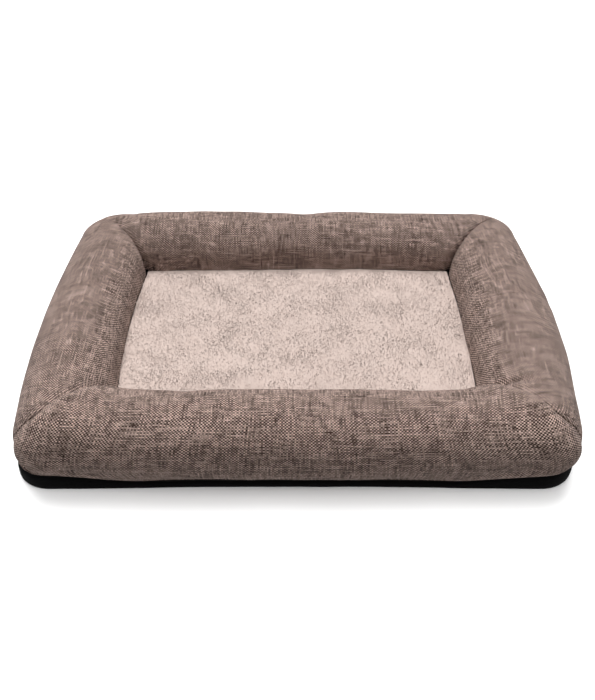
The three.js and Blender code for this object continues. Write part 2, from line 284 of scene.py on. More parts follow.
plush = {
    "tip": (0.690, 0.566, 0.510),
    "root": (0.600, 0.475, 0.420),
    "pile": 0.009,  # the length of a tuft, which leans over
    "upright": 0.54,  # how much of that length is height
    "lean": 0.8,
    "rooted": 0.0012,  # how deep a tuft starts in the cloth
    "thick": 0.0014,
    "spacing": 0.0024,
}


def plushFinish(name, tipShare):
    fur = Finish(name, Roughness=0.95, Sheen_Weight=0.25, Specular_IOR_Level=0.15)
    fur.surface.inputs["Sheen Tint"].default_value = (1.0, 0.93, 0.89, 1)
    place = fur.objectPlace()
    clumps = fur.noise(place, 60.0, 3.0, 0.6)
    strands = fur.noise(place, 900.0, 2.0, 0.7)
    tone = fur.mix(clumps.between(0.25, 0.75), plush["root"], plush["tip"])
    tone = fur.mix(tipShare, tone, plush["tip"])
    light = 0.97 + 0.06 * strands
    tone = fur.mix(1.0, tone, fur.point(light, light, light), "MULTIPLY")
    return fur.to(Base_Color=tone, Normal=fur.bump(strands + clumps, 0.0008, 0.4))


def fineCloth(name, colour, other, thread, roughness=0.8, relief=0.0003):
    cloth = Finish(name, Specular_IOR_Level=0.07)
    place = cloth.objectPlace()
    x, y, z = cloth.parts(place)
    along = ((x + y) * (2 * math.pi / thread)).sum("SINE")
    across = ((z * 1.4 + x - y) * (2 * math.pi / thread)).sum("SINE")
    mottle = cloth.noise(place, 45.0, 4.0, 0.6)
    tone = cloth.mix(mottle.between(0.3, 0.7), colour, other)
    threads = along * across
    rough = roughness + 0.08 * mottle
    return cloth.to(
        Base_Color=tone,
        Roughness=rough,
        Normal=cloth.bump(threads * 0.5 + mottle, relief, 0.8),
    )


def foamFinish():
    foam = Finish("foamCells", Roughness=0.95, Specular_IOR_Level=0.2)
    place = foam.objectPlace()
    cells = foam.node("ShaderNodeTexVoronoi", {}, {"Vector": place, "Scale": 420.0}, "Distance")
    cloudy = foam.noise(place, 12.0, 3.0)
    tone = foam.mix(cloudy.between(0.3, 0.7), (0.72, 0.62, 0.36), (0.80, 0.71, 0.46))
    # painted shade: darker towards the middle of each cell, where the bump sinks into a pore
    tone = foam.mix(cells.between(0.0, 0.5, 0.35, 0.0), tone, (0.42, 0.34, 0.16))
    return foam.to(Base_Color=tone, Normal=foam.bump(cells, 0.0008, 0.7))


def fibreFinish():
    fibre = Finish("whiteFibre", Roughness=0.95, Sheen_Weight=0.4, Specular_IOR_Level=0.2)
    place = fibre.objectPlace()
    wisps = fibre.noise(place, 70.0, 5.0, 0.7)
    waves = {"Vector": place, "Scale": 140.0, "Distortion": 14.0}
    hairs = fibre.node("ShaderNodeTexWave", {}, waves, "Fac")
    tone = fibre.mix(wisps.between(0.25, 0.75), (0.72, 0.71, 0.69), (0.90, 0.89, 0.87))
    return fibre.to(Base_Color=tone, Normal=fibre.bump(wisps + hairs * 0.4, 0.0015, 0.7))


# A hard finish whose tone and roughness vary with one noise.
def speckled(name, scale, detail, spread, dark, light, rough, relief=0, **sockets):
    hard = Finish(name, **sockets)
    noise = hard.noise(hard.objectPlace(), scale, *detail)
    tone = hard.mix(noise.between(*spread) if spread else noise, dark, light)
    hard.to(Base_Color=tone, Roughness=rough[0] + rough[1] * noise)
    if relief:
        hard.to(Normal=hard.bump(noise, relief, 0.5))
    return hard.material


finishes = {
    "weave": weaveFinish(),
    "plushGround": plushFinish("plushGround", 0.5),
    "plushPile": plushFinish("plushPile", 0.75),
    "base": fineCloth("blackBaseCloth", (0.0010, 0.0010, 0.0011), (0.0026, 0.0026, 0.0028), 0.0011, 0.85),
    "lining": fineCloth("greyLining", (0.030, 0.027, 0.025), (0.050, 0.046, 0.043), 0.0012),
    "tape": fineCloth("zipTape", (0.008, 0.008, 0.009), (0.016, 0.016, 0.018), 0.0007),
    "label": fineCloth("labelSatin", (0.84, 0.83, 0.80), (0.90, 0.89, 0.87), 0.0005, 0.55, 0.00008),
    "film": fineCloth("waterproofFilm", (0.66, 0.70, 0.72), (0.76, 0.79, 0.81), 0.0009, 0.38, 0.0002),
    "thread": fineCloth("brownThread", (0.10, 0.070, 0.058), (0.16, 0.115, 0.096), 0.0004, 0.7, 0.0001),
    "blackThread": fineCloth(
        "blackThread", (0.010, 0.010, 0.011), (0.022, 0.022, 0.024), 0.0004, 0.7, 0.0001,
    ),
    "foam": foamFinish(),
    "fibre": fibreFinish(),
    "metal": speckled(
        "blackenedMetal", 700.0, (3.0, 0.6), (0.45, 0.75), (0.045, 0.045, 0.048), (0.13, 0.13, 0.135),
        (0.28, 0.2), 0.00005, Metallic=0.9,
    ),
    "nylon": speckled(
        "blackNylon", 500.0, (2.0,), None, (0.012, 0.012, 0.013), (0.030, 0.030, 0.032), (0.36, 0.14),
        Coat_Weight=0.1,
    ),
    "silicone": speckled(
        "greySilicone", 120.0, (3.0,), (0.3, 0.7), (0.020, 0.020, 0.022), (0.045, 0.045, 0.048),
        (0.42, 0.2),
    ),
}
print("finishes made:", len(finishes))


# helpers


def smooth(low, high, value):
    share = min(1.0, max(0.0, (value - low) / (high - low)))
    return share * share * (3 - 2 * share)


def turning(low, high, angle):  # the same, between two angles in degrees
    return smooth(math.radians(low), math.radians(high), angle)


def blendTo(first, second, share):
    return first + (second - first) * share


def addPiece(name, mesh, finish, body, slot, *nodes):
    piece = bpy.data.objects.new(name, mesh)
    scene.collection.objects.link(piece)
    if not mesh.materials:
        mesh.materials.append(finishes[finish])
    mesh.polygons.foreach_set("use_smooth", [True] * len(mesh.polygons))
    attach(piece, body)
    if nodes:
        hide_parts(*nodes)
    return piece


def meshFrom(work, name):
    bmesh.ops.recalc_face_normals(work, faces=work.faces)
    mesh = bpy.data.meshes.new(name)
    work.to_mesh(mesh)
    work.free()
    return mesh


def shapedGrid(name, across, along, place, cloth=None, welded=False):  # place takes shares from 0 to 1
    work = bmesh.new()
    bmesh.ops.create_grid(work, x_segments=across, y_segments=along, size=0.5)
    layer = work.loops.layers.uv.new("cloth")
    for loop in [loop for face in work.faces for loop in face.loops]:
        u, v = loop.vert.co.x + 0.5, loop.vert.co.y + 0.5
        loop[layer].uv = cloth(u, v) if cloth else (u, v)
    for vertex in work.verts:
        vertex.co = place(vertex.co.x + 0.5, vertex.co.y + 0.5)
    if welded:
        bmesh.ops.remove_doubles(work, verts=work.verts, dist=1e-5)
    mesh = bpy.data.meshes.new(name)
    work.to_mesh(mesh)
    work.free()
    return mesh


def addModifier(piece, kind, **settings):
    made = piece.modifiers.new(kind.lower(), kind)
    for key, value in settings.items():
        setattr(made, key, value)


def thicken(piece, thickness):
    addModifier(piece, "SUBSURF", levels=1, render_levels=1)
    addModifier(piece, "SOLIDIFY", thickness=thickness, offset=-1, use_even_offset=False)


# the ring of bolsters

turns = {"rear": 0, "left": 90, "front": 180, "right": 270}


def isEnd(side):
    return side in ("front", "rear")


def turned(side, point):
    return Matrix.Rotation(math.radians(turns[side]), 3, "Z") @ point


def lengths(side):  # half length, half across, inner half length, bulge
    extra = shape["extraBulge"][side]
    if isEnd(side):
        return shape["halfX"], shape["halfY"], shape["innerX"], shape["endBulge"] + extra
    return shape["halfY"], shape["halfX"], shape["innerY"], shape["sideBulge"] + extra


ends = {  # the corners of the ring, for the front and rear covers: at share -1, then at share 1
    "reach": {"front": (0.034, 0.034), "rear": (0.008, 0.008)},  # past the corner's middle, low outside
    "lean": {"front": (0.011, 0.007), "rear": (0.003, 0.004)},  # of the mitre, on top
    "slit": {"front": (0.0030, 0.0024), "rear": (0.0008, 0.0008)},  # how far the mitre gapes on top
    "slitFrom": {"front": (64, 88), "rear": (80, 80)},  # the angle where that begins
    "push": {"front": (0.0015, 0.001), "rear": (0.001, 0.007)},  # how full the corner is
}
innerBow = {"left": 0.0105, "right": 0.0062, "rear": 0.0085, "front": 0.0}  # of each inner line, outwards


def atEnd(name, side, share):  # the side covers take the same value, the other way round
    late = share > 0
    if isEnd(side):
        return ends[name][side][1 if late else 0]
    corner = ("rear", 0) if late else ("front", 1)
    if side == "right":
        corner = ("front", 0) if late else ("rear", 1)
    return -ends[name][corner[0]][corner[1]]


def alongLine(share, whole, straight, halfAcross, radius, bulge):  # a straight, then a round corner
    run = abs(share) * whole
    sign = 1 if share >= 0 else -1
    if run <= straight:
        return sign * run, halfAcross + bulge * (1 - (run / straight) ** 2)
    turn = (run - straight) / radius
    return sign * (straight + radius * math.sin(turn)), halfAcross - radius + radius * math.cos(turn)


def outerLine(side, share, angle):
    halfLength, halfAcross, _, bulge = lengths(side)
    radius = shape["cornerRadius"]
    straight = halfLength - radius
    reach = atEnd("reach", side, share) * turning(75, -10, angle)
    return alongLine(share, straight + radius * math.pi / 4 + reach, straight, halfAcross, radius, bulge)


def baseLine(side, share):  # what the cover is sewn to, under the same share of the bolster
    radius = shape["baseCorner"]
    reach = atEnd("reach", side, share) * 0.9
    halfLength, halfAcross = (baseHalf.x, baseHalf.y) if isEnd(side) else (baseHalf.y, baseHalf.x)
    innerHalf = lengths(side)[2]
    innerAcross = lengths(side)[1] - shape["across"]
    middle = (halfLength - radius) - (halfAcross - radius)
    # the mitre meets the round corner where x - y is the same as at the inner corner
    lean = math.acos(max(-1, min(1, (innerHalf - innerAcross - middle) / (radius * math.sqrt(2)))))
    turnMost = math.pi / 2 - (lean - math.pi / 4)
    straight = halfLength - radius
    return alongLine(share, straight + radius * turnMost + reach, straight, halfAcross, radius, 0)


def bowAt(side, length, half):
    return innerBow[side] * max(0, 1 - (length / half) ** 2)


flare = {"left": 0.0160, "right": 0.0085, "front": 0.0036, "bow": -0.0014}


def splay(x, y):  # the base splays out towards its corners, apart from the rear, where the zip is
    nearY = smooth(0.10, baseHalf.y - 0.02, abs(y))
    nearX = smooth(0.12, baseHalf.x - 0.05, abs(x))
    outX = (flare["right"] if x > 0 else -flare["left"]) * nearY * smooth(0.30, 0.40, abs(x))
    outX *= smooth(0.1, -0.1, y) * 0.7 + 0.3
    outY = -(flare["bow"] + (flare["front"] - flare["bow"]) * nearX) if y < -0.2 else 0.0
    return outX, outY


band = {
    "top": 0.0165,
    "cornerRise": 0.0135,
    "riseLength": 0.19,
    "cloth": 0.0014,
    "belly": 0.0016,  # how far its middle stands out
    "tuckTop": 0.0030,
    "tuckLow": 0.0022,
    "ripple": 0.0007,
}


def bandTop(x, y):
    nearX = smooth(baseHalf.x - band["riseLength"], baseHalf.x - 0.01, abs(x))
    nearY = smooth(baseHalf.y - band["riseLength"], baseHalf.y - 0.01, abs(y))
    return band["top"] + band["cornerRise"] * min(1.0, nearX * nearY * 1.6)


bolster = {
    "creaseInner": 0.0100,  # how deep the mitre seam lies at the inner side, on top and outside
    "creaseTop": 0.0055,
    "creaseOuter": 0.0008,
    "creaseWidth": 0.0055,
    "allowance": 0.012,  # cloth turned in at the mitre seam
    "seamGap": 0.0003,
    "cloth": 0.0018,  # how thick it is
    "pucker": 0.0014,
    "lump": 0.0020,
    "start": 0.0035,  # the cover starts this far in and is then blown up
    "columns": 112,
    "rows": 46,
}

# soft grooves across a bolster: place along it, slant, depth, width, and the angles it spans
grooves = {
    "right": [(-0.012, 0.030, 0.0026, 0.011, 20, 175), (0.222, 0.048, 0.0050, 0.007, 92, 182),
              (0.075, 0.02, 0.0012, 0.020, 30, 160)],
    "left": [(0.095, -0.03, 0.0015, 0.014, 40, 170), (0.035, 0.02, 0.0014, 0.016, 50, 180),
             (-0.06, 0.02, 0.0010, 0.018, 50, 175)],
    "rear": [(-0.13, 0.03, 0.0010, 0.020, 30, 160), (0.02, 0.02, 0.0014, 0.022, 40, 150)],
    "front": [(0.17, 0.05, 0.0010, 0.024, 10, 150), (-0.12, -0.04, 0.0009, 0.022, 10, 150)],
}
# broad fullness along a bolster: place, height, width
swells = {
    "right": [(0.02, 0.0022, 0.10)],
    "left": [(-0.10, 0.0015, 0.10)],
    "rear": [(-0.20, 0.0042, 0.13), (0.10, 0.0022, 0.08)],
    "front": [(0.10, 0.0010, 0.16), (-0.335, 0.0042, 0.026), (0.338, 0.0034, 0.024)],
}


def handShape(side, length, angle):
    depth = 0
    turn = math.degrees(angle)
    for place, slant, deep, width, low, high in grooves[side]:
        middle = place + slant * (angle - math.pi / 2) / (math.pi / 2)
        window = smooth(low - 25, low + 25, turn) * smooth(high + 18, high - 18, turn)
        away = (length - middle) / width
        depth += deep * window * (math.exp(-away * away) - 0.30 * math.exp(-((away / 2.4) ** 2)))
    for place, tall, width in swells[side]:
        depth -= tall * math.exp(-(((length - place) / width) ** 2))
    return depth


seamAngles = {
    "outer": -math.radians(60),
    "inner": math.pi + math.asin((shape["middleHeight"] - shape["seamHeight"]) / shape["halfHeight"]),
}


def sectionPoint(angle, inset):
    halfAcross = shape["across"] / 2 - inset
    halfUp = (bedTop - shape["underside"]) / 2 - inset
    middle = (bedTop + shape["underside"]) / 2
    return shape["across"] / 2 + halfAcross * math.cos(angle), middle + halfUp * math.sin(angle)


def creaseDepth(angle):  # deep where the ring turns its inner corner, hardly there outside
    depth = blendTo(bolster["creaseTop"], bolster["creaseInner"], turning(95, 160, angle))
    return blendTo(depth, bolster["creaseOuter"], turning(110, 70, angle))


def outerRun(side):
    return lengths(side)[0] - shape["cornerRadius"] * (1 - math.pi / 4)


def middleHalf(side):  # half the length of a bolster, along its middle
    return (lengths(side)[2] + outerRun(side)) / 2


def toMitre(side, share):
    return (1 - abs(share)) * middleHalf(side) * 0.72


# A point of the stuffed tube: share from -1 to 1 along it, the angle in its section.
def tubePoint(side, share, angle, inset, lumpy=1.0):
    halfAcross, innerHalf = lengths(side)[1:3]
    seed = turns[side] * 0.37
    outX, outY = outerLine(side, share, angle)
    away = toMitre(side, share)
    crease = creaseDepth(angle) * math.exp(-away / bolster["creaseWidth"])
    girthLength = angle * shape["meanRadius"]
    folds = noise.noise(Vector((girthLength * 62, seed, share))) * bolster["pucker"]
    folds *= math.exp(-away / 0.034)
    length = share * middleHalf(side)
    lump = noise.noise(Vector((length / 0.13, girthLength / 0.11, seed)))
    lump += 0.4 * noise.noise(Vector((length / 0.06, girthLength / 0.07, seed + 9)))
    toSeam = abs(angle - seamAngles["inner"]) * shape["meanRadius"]
    calm = smooth(0, 0.05, away) * smooth(0.012, 0.05, toSeam)
    total = inset + crease - folds * lumpy - lump * bolster["lump"] * lumpy * calm
    total += handShape(side, length, angle) * smooth(0, 0.012, away)
    out, up = sectionPoint(angle, total)
    outward = out / shape["across"]
    x = blendTo(share * innerHalf, outX, outward)
    y = blendTo(halfAcross - shape["across"] + bowAt(side, share * innerHalf, innerHalf), outY, outward)
    tilt = atEnd("lean", side, share) * math.exp(-((away / 0.055) ** 2))
    tilt *= turning(15, 80, angle) * turning(195, 120, angle)
    slit = abs(atEnd("slit", side, share)) * math.exp(-away / 0.005)
    opens = math.radians(abs(atEnd("slitFrom", side, share)))
    slit *= smooth(opens, opens + 0.35, angle) * turning(176, 150, angle)
    push = abs(atEnd("push", side, share)) * math.exp(-((away / 0.07) ** 2)) * outward
    x += math.copysign(tilt * 0.707 - slit + push * 0.707, share)
    y += (push - tilt) * 0.707
    return Vector((x, y, up))


def baseSeam(side, share):
    seam = turned(side, Vector((*baseLine(side, share), 0)))
    outX, outY = splay(seam.x, seam.y)
    return Vector((seam.x + outX, seam.y + outY, bandTop(seam.x, seam.y)))


def coverPoint(side, share, girth, inset):  # girth from 0 at the base seam to 1 at the pad seam
    angle = blendTo(seamAngles["outer"], seamAngles["inner"], girth)
    place = turned(side, tubePoint(side, share, angle, inset))
    seam = baseSeam(side, share)
    pull = (1 - smooth(0.02, 0.18, girth)) ** 1.3
    outward = Vector((seam.x, seam.y * 1.25, 0)).normalized()
    lip = smooth(0, 0.022, girth)
    seam += outward * blendTo(-0.004, 0.0012, lip)
    seam.z += blendTo(0.0012, 0.0004, lip) + 0.0016 * smooth(0.02, 0.05, girth)
    return place.lerp(seam, pull)


def stationShare(v):  # stations stand closer together towards the mitres
    share = 2 * v - 1
    return share * (1.36 - 0.36 * share * share)


def buildCover(side):
    columns = bolster["columns"]
    turnedIn = 2 / columns  # the last two stations at each end are the seam allowance
    half = middleHalf(side)
    most = 1 - bolster["seamGap"] / half / 0.72

    def share(v):
        return most * stationShare(min(1, max(0, (v - turnedIn) / (1 - 2 * turnedIn))))

    def place(u, v):
        inside = max(0, turnedIn - v, v - 1 + turnedIn) / turnedIn
        start = bolster["start"] * smooth(0, 0.06, u) * smooth(1, 0.95, u)
        point = coverPoint(side, share(v), u, start + inside * bolster["allowance"])
        point.z -= 0.0004 * inside  # keeps the points of the allowance apart
        return point

    def cloth(u, v):
        angle = blendTo(seamAngles["outer"], seamAngles["inner"], u)
        out = sectionPoint(angle, 0)[0] / shape["across"]
        inside = max(0, turnedIn - v, v - 1 + turnedIn)
        run = share(v) * blendTo(lengths(side)[2], outerRun(side), out)
        return run + math.copysign(inside * 0.4, v - 0.5), u * 0.315 + turns[side]

    mesh = shapedGrid(f"cover_{side}", bolster["rows"], columns, place, cloth)
    cover = addPiece(f"woven_cover_{side}", mesh, "weave", "bed", "cover_weave", f"bolster_cover_{side}")
    rows = bolster["rows"] + 1
    sewn = []
    for vertex in mesh.vertices:
        row, column = vertex.index % rows, vertex.index // rows
        if row in (0, rows - 1) or column < 3 or column > columns - 3:
            sewn.append(vertex.index)
    cover.vertex_groups.new(name="sewn").add(sewn, 1.0, "REPLACE")
    2 * half
    return cover


def buildLining(side):
    def place(u, v):
        angle = blendTo(seamAngles["inner"], 2 * math.pi + seamAngles["outer"], u)
        share = 0.998 * (2 * v - 1)
        inset = 0.0009 + 0.0008 * smooth(0.1, 0, u)
        point = turned(side, tubePoint(side, share, angle, inset, 0.0))
        seam = baseSeam(side, share)
        seam.z -= 0.0016
        point.z = max(point.z, 0.0114)
        return point.lerp(seam, smooth(0.72, 1.0, u) ** 1.5 * 0.97)

    mesh = shapedGrid(f"lining_{side}", 20, 60, place)
    lining = addPiece(f"inner_lining_{side}", mesh, "lining", "bed", "lining", f"bolster_lining_{side}")
    addModifier(lining, "SOLIDIFY", thickness=0.0006, offset=-1)
    2 * middleHalf(side)


filling = {
    "inset": 0.0085,  # inside the cover
    "atEnds": 0.006,  # and further in at its ends
    "under": 0.013,  # and low outside, where the cover goes in to its seam
    "lowest": 0.0142,
    "tuft": 0.0009,
}


def buildFilling(side):
    def place(u, v):
        share = 0.985 * (2 * v - 1)
        angle = 2 * math.pi * u
        turn = math.degrees(angle)
        inset = filling["inset"] + filling["atEnds"] * max(0, (abs(share) - 0.96) / 0.025)
        inset += filling["under"] * smooth(245, 280, turn) * smooth(358, 325, turn)
        point = turned(side, tubePoint(side, share, angle, inset, 0.8))
        point.z = max(point.z, filling["lowest"])
        tuft = noise.noise(point / 0.014) * filling["tuft"]
        return point + (point - Vector((0, 0, shape["middleHeight"]))).normalized() * tuft

    mesh = shapedGrid(f"filling_{side}", 48, 90, place, None, True)
    work = bmesh.new()
    work.from_mesh(mesh)
    bmesh.ops.holes_fill(work, edges=work.edges)
    mesh = meshFrom(work, f"filling_{side}")
    fibre = addPiece(f"fibre_filling_{side}", mesh, "fibre", "bed", "fibre", f"bolster_filling_{side}")


inflate = {"frames": 12, "most": 0.0050}  # most: the furthest that a point may move
clothSettings = {
    "vertex_group_mass": "sewn",
    "use_pressure": True,
    "uniform_pressure_force": 0.14,
    "shrink_min": -0.001,
    "tension_stiffness": 60,
    "compression_stiffness": 60,
    "shear_stiffness": 30,
    "bending_stiffness": 1.2,
    "air_damping": 3,
    "quality": 6,
}


# The covers are held along their seams and blown up a little, as stuffing does.
def inflateCovers(covers):
    starts = {}
    for cover in covers:
        cloth = cover.modifiers.new("inflate", "CLOTH")
        for key, value in clothSettings.items():
            setattr(cloth.settings, key, value)
        cloth.settings.effector_weights.gravity = 0
        cloth.collision_settings.use_collision = False
        cloth.point_cache.frame_end = inflate["frames"]
        starts[cover.name] = [vertex.co.copy() for vertex in cover.data.vertices]
    for step in range(1, inflate["frames"] + 1):
        scene.frame_set(step)
    reader = bpy.context.evaluated_depsgraph_get()
    for cover in covers:
        shaped = cover.evaluated_get(reader).to_mesh()
        blown = [vertex.co.copy() for vertex in shaped.vertices]
        cover.evaluated_get(reader).to_mesh_clear()
        cover.modifiers.remove(cover.modifiers["inflate"])
        furthest, total = 0, 0
        for vertex, start, end in zip(cover.data.vertices, starts[cover.name], blown):
            move = end - start
            furthest = max(furthest, move.length)
            total += move.length
            if move.length > inflate["most"]:
                move *= inflate["most"] / move.length
            vertex.co = start + move
        mean, furthest = round(total / len(blown) * 1000, 2), round(furthest * 1000, 1)
        print(cover.name, "moved", mean, "mm, at most", furthest, "mm")
    scene.frame_set(1)


buildCamera()
buildLights()
covers = [buildCover(side) for side in turns]
inflateCovers(covers)
for cover in covers:
    cover.vertex_groups.clear()
    thicken(cover, bolster["cloth"])
for side in turns:
    buildLining(side)
    buildFilling(side)
print("bolsters made")


# the sleeping pad


pad = {
    "sink": 0.0038,  # how far the cloth lies under the tips of its pile
    "tuck": 0.0012,
    # the sizes, seed and height of each wave
    "waves": ((0.11, 0.09, 2, 0.0026), (0.035, 0.035, 7, 0.0009), (0.011, 0.011, 4, 0.0005)),
}


def panelHeight(x, y):
    toEdge = min(panelHigh.x - abs(x), panelHigh.y - abs(y))
    height = panelHigh.z - pad["sink"] - pad["tuck"] * (1 - smooth(-0.002, 0.022, toEdge)) ** 1.5
    for sizeX, sizeY, seed, tall in pad["waves"]:
        height += noise.noise(Vector((x / sizeX, y / sizeY, seed))) * tall
    return height


def bowed(x, y):  # the panel follows the inner lines of the bolsters
    side = "right" if x > 0 else "left"
    outX = bowAt(side, y, shape["innerY"]) * smooth(0.08, shape["innerX"], abs(x))
    outY = bowAt("rear", x, shape["innerX"]) * smooth(0.04, shape["innerY"], y)
    return x + math.copysign(outX, x), y + outY


def buildPanel():
    def place(u, v):
        x = (2 * u - 1) * (panelHigh.x + 0.0003)
        y = (2 * v - 1) * (panelHigh.y + 0.0003)
        return Vector((*bowed(x, y), panelHeight(x, y)))

    mesh = shapedGrid("panel", 200, 138, place)
    panel = addPiece("plush_panel", mesh, "plushGround", "bed", "plush", "sleeping_panel")
    addModifier(panel, "SOLIDIFY", thickness=0.0016, offset=-1)
    return panel


# One tuft is a thin three-sided spike. The tufts lean together in drifts, as brushed pile does.
def buildPile():
    work = bmesh.new()
    bmesh.ops.create_cone(work, cap_ends=False, segments=3, radius1=plush["thick"], radius2=0, depth=1.0)
    bmesh.ops.remove_doubles(work, verts=work.verts, dist=1e-6)
    bmesh.ops.translate(work, verts=work.verts, vec=(0, 0, 0.5))
    corners = np.array([vertex.co for vertex in work.verts])
    faces = np.array([[vertex.index for vertex in face.verts] for face in work.faces])
    work.free()
    draw = np.random.default_rng(7)
    step = plush["spacing"]
    columns = int(2 * panelHigh.x / step)
    rows = int(2 * panelHigh.y / step)
    gridX, gridY = np.meshgrid(np.arange(columns), np.arange(rows))
    x = (gridX.ravel() + draw.uniform(0, 1, gridX.size)) * step - panelHigh.x
    y = (gridY.ravel() + draw.uniform(0, 1, gridX.size)) * step - panelHigh.y
    places = []
    for i in range(len(x)):
        drift = Vector((x[i] / 0.05, y[i] / 0.05, 11))
        leanX = noise.noise(drift) * 0.5 + draw.uniform(-0.5, 0.5)
        leanY = noise.noise(drift + Vector((0, 0, 9))) * 0.5 - 0.15 + draw.uniform(-0.5, 0.5)
        tall = plush["pile"] * draw.uniform(0.7, 1.0) * (0.9 + 0.14 * noise.noise(drift * 2.4))
        spin = draw.uniform(0, 2 * math.pi)
        turn = np.array([[math.cos(spin), -math.sin(spin)], [math.sin(spin), math.cos(spin)]])
        points = corners.copy()
        points[:, :2] = points[:, :2] @ turn.T
        outX, outY = bowed(x[i], y[i])
        points[:, 0] += points[:, 2] * leanX * tall * plush["lean"] + outX
        points[:, 1] += points[:, 2] * leanY * tall * plush["lean"] + outY
        points[:, 2] = points[:, 2] * tall * plush["upright"] + panelHeight(x[i], y[i]) - plush["rooted"]
        places.append(points)
    places = np.concatenate(places)
    count = len(x)
    every = (faces[None] + (np.arange(count) * len(corners))[:, None, None]).reshape(-1, 3)
    mesh = bpy.data.meshes.new("pile")
    mesh.from_pydata(places.tolist(), [], every.tolist())
    pile = addPiece("plush_pile", mesh, "plushPile", "bed", "plush")
    upward = np.zeros((len(places), 3))
    upward[:, 2] = 1.0
    mesh.normals_split_custom_set_from_vertices(upward.tolist())
    return pile


def roundPlan(x, y, halfX, halfY, radius):  # moves a point of a square corner to a round one
    overX, overY = abs(x) - (halfX - radius), abs(y) - (halfY - radius)
    if overX <= 0 or overY <= 0:
        return x, y
    share = max(overX, overY) / math.hypot(overX, overY)
    x = math.copysign(halfX - radius + overX * share, x)
    return x, math.copysign(halfY - radius + overY * share, y)


def softBlock(low, high, radius, ripple, cuts, corner=0):  # with round edges, its sides rippling a little
    work = bmesh.new()
    bmesh.ops.create_cube(work, size=2)
    bmesh.ops.subdivide_edges(work, edges=work.edges, cuts=cuts, use_grid_fill=True)
    middle = (low + high) / 2
    half = (high - low) / 2
    core = Vector((half.x - radius, half.y - radius, half.z - min(radius, half.z * 0.98)))
    reach = half - core
    for vertex in work.verts:
        share = vertex.co.copy()
        point = share * half
        inner = Vector([max(-core[i], min(core[i], point[i])) for i in range(3)])
        out = Vector([(point[i] - inner[i]) / reach[i] for i in range(3)])
        if out.length > 1e-6:
            point = inner + out.normalized() * max(abs(part) for part in out) * reach
        wave = noise.noise((point + Vector((0, 0, 0.15))) / 0.03) * ripple
        point -= Vector([part ** 5 for part in share]) * (abs(wave) + ripple * 0.2)
        if corner:
            point.x, point.y = roundPlan(point.x, point.y, half.x, half.y, corner)
        vertex.co = middle + point
    return work


def buildMattress():
    for name, node, radius, ripple, finish, fill, cuts, rounded in (
        ("quilt_batting", "pad_batting", 0.0034, 0.0009, "fibre", 0.4, 22, 0),
        ("foam_slab", "foam_mattress", 0.004, 0.0002, "foam", 1.0, 22, 0),
        ("base_wadding_pad", "base_wadding", 0.0036, 0.0008, "fibre", 0.4, 60, shape["baseCorner"]),
    ):
        work = softBlock(*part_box(node), radius, ripple, cuts, rounded)
        piece = addPiece(name, meshFrom(work, name), finish, "bed", finish, node)


mouth = {"high": 0.022, "setback": 0.020}


def buildBag():
    low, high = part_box("waterproof_bag")
    work = softBlock(low, high, 0.005, 0.0004, 38)
    middle = (low.z + high.z) / 2
    opened = []
    for face in work.faces:
        centre = face.calc_center_median()
        rear = face.normal.y > 0.9 and centre.y > high.y - 0.002
        level = abs(centre.z - middle) < mouth["high"] / 2
        if rear and level and abs(centre.x) < high.x - mouth["setback"]:
            opened.append(face)
    bmesh.ops.delete(work, geom=opened, context="FACES")
    mesh = meshFrom(work, "bag")
    bag = addPiece("waterproof_cover", mesh, "film", "bed", "waterproof_film", "waterproof_bag")
    addModifier(bag, "SOLIDIFY", thickness=0.0003, offset=-1)


panel = buildPanel()
pile = buildPile()
buildMattress()
buildBag()
print("pad made, faces in the pile:", len(pile.data.polygons))


# the base


def cornerRun(signX, signY, fromTurn, toTurn, count=10):
    radius = shape["baseCorner"]
    midX, midY = signX * (baseHalf.x - radius), signY * (baseHalf.y - radius)
    around = [math.radians(blendTo(fromTurn, toTurn, i / count)) for i in range(count + 1)]
    return [(midX + radius * math.cos(turn), midY + radius * math.sin(turn)) for turn in around]


def straightRun(start, end, step=0.02):
    count = max(2, int(math.dist(start, end) / step))
    shares = [i / count for i in range(1, count)]
    return [(blendTo(start[0], end[0], share), blendTo(start[1], end[1], share)) for share in shares]


def bandRoutes():
    rearEnd = tapeHigh.x + 0.0003
    front = [cornerRun(-1, -1, 225.3, 270), cornerRun(1, -1, 270, 314.7)]
    right = [cornerRun(1, -1, 315.3, 360), cornerRun(1, 1, 0, 44.7)]
    left = [cornerRun(-1, 1, 135.3, 180), cornerRun(-1, -1, 180, 224.7)]
    rearRight = [cornerRun(1, 1, 45.3, 90), [(rearEnd, baseHalf.y)]]
    rearLeft = [[(-rearEnd, baseHalf.y)], cornerRun(-1, 1, 90, 134.7)]
    pairs = {"front": front, "right": right, "left": left, "rear_right": rearRight, "rear_left": rearLeft}
    return {name: one + straightRun(one[-1], two[0]) + two for name, (one, two) in pairs.items()}


